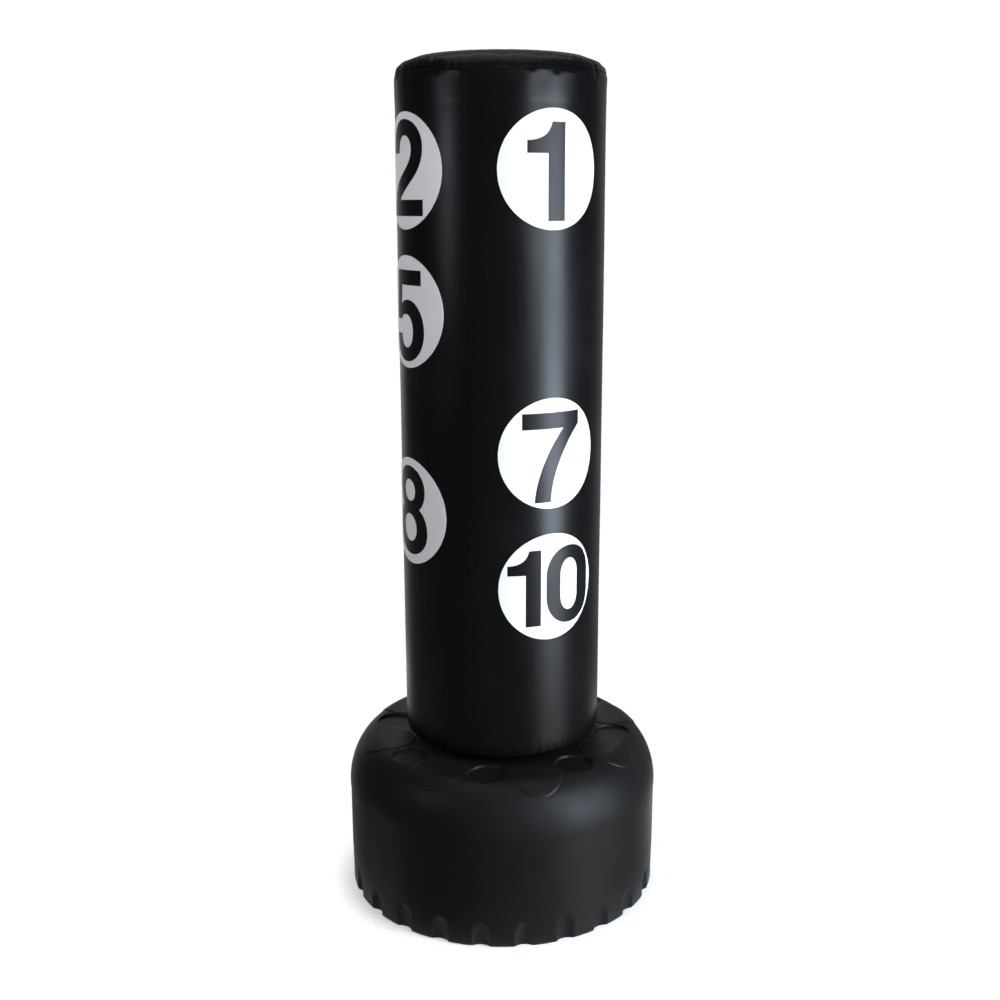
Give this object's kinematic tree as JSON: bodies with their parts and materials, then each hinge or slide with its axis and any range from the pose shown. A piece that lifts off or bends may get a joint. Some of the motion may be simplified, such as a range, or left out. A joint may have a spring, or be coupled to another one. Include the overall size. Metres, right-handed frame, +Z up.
{
  "type": "free-standing punching bag",
  "caption": "Free-standing punching bag: a tall padded cylinder in a vinyl cover with round number panels, on a wide hollow moulded base that is filled as ballast.",
  "frame": {"origin": "centre of the base's resting face, on the floor", "axes": "+Z up along the bag's axis; -Y is the front, the direction in which one dimple of the base's pattern lies; the fill cap is at +Y"},
  "size_m": [0.627, 0.627, 1.6286],
  "materials": {
    "base_plastic": "satin",
    "core_plastic": "matte",
    "pipe_plastic": "satin",
    "seal_rubber": "matte",
    "birch_ply": "matte",
    "zinc_steel": "satin",
    "dense_foam": "matte",
    "soft_foam": "matte",
    "black_vinyl": "satin",
    "nylon_cord": "matte",
    "white_vinyl": "satin"
  },
  "bodies": {
    "base": {"base_shell": "base_plastic"},
    "neck_ring": {"neck_gasket": "seal_rubber"},
    "bag": {"core_spigot": "core_plastic", "core_post": "pipe_plastic", "core_cap": "core_plastic", "foam_plate": "birch_ply", "post_screw_1": "zinc_steel", "post_screw_2": "zinc_steel", "post_screw_3": "zinc_steel", "post_screw_4": "zinc_steel", "plate_screw_1": "zinc_steel", "plate_screw_2": "zinc_steel", "plate_screw_3": "zinc_steel", "plate_screw_4": "zinc_steel", "foam_inner": "dense_foam", "foam_outer": "soft_foam", "foam_top": "soft_foam", "cover_sleeve": "black_vinyl", "cover_top": "black_vinyl", "hem_cord": "nylon_cord", "disc_1": "white_vinyl", "disc_2": "white_vinyl", "disc_3": "white_vinyl", "disc_4": "white_vinyl", "disc_5": "white_vinyl", "disc_6": "white_vinyl", "disc_7": "white_vinyl", "disc_8": "white_vinyl", "disc_9": "white_vinyl", "disc_10": "white_vinyl"},
    "fill_ring": {"fill_gasket": "seal_rubber"},
    "cap": {"fill_cap": "core_plastic"}
  },
  "joints": [
    {"name": "bag_turn", "type": "hinge", "parent": "base", "child": "neck_ring", "pos_m": [0, 0, 0.32], "axis": [0, 0, 1], "range_deg": [0, 2880]},
    {"name": "bag_lift", "type": "slide", "parent": "neck_ring", "child": "bag", "axis": [0, 0, 1], "range_m": [0, 0.1]},
    {"name": "cap_turn", "type": "hinge", "parent": "base", "child": "fill_ring", "pos_m": [0, 0.226, 0.31], "axis": [0, 0, 1], "range_deg": [0, 1800]},
    {"name": "cap_lift", "type": "slide", "parent": "fill_ring", "child": "cap", "axis": [0, 0, 1], "range_m": [0, 0.02]}
  ],
  "couplings": [
    {"joint": "bag_lift", "follows": "bag_turn", "m_per_rad": 0.0019894},
    {"joint": "cap_lift", "follows": "cap_turn", "m_per_rad": 0.0006366}
  ]
}
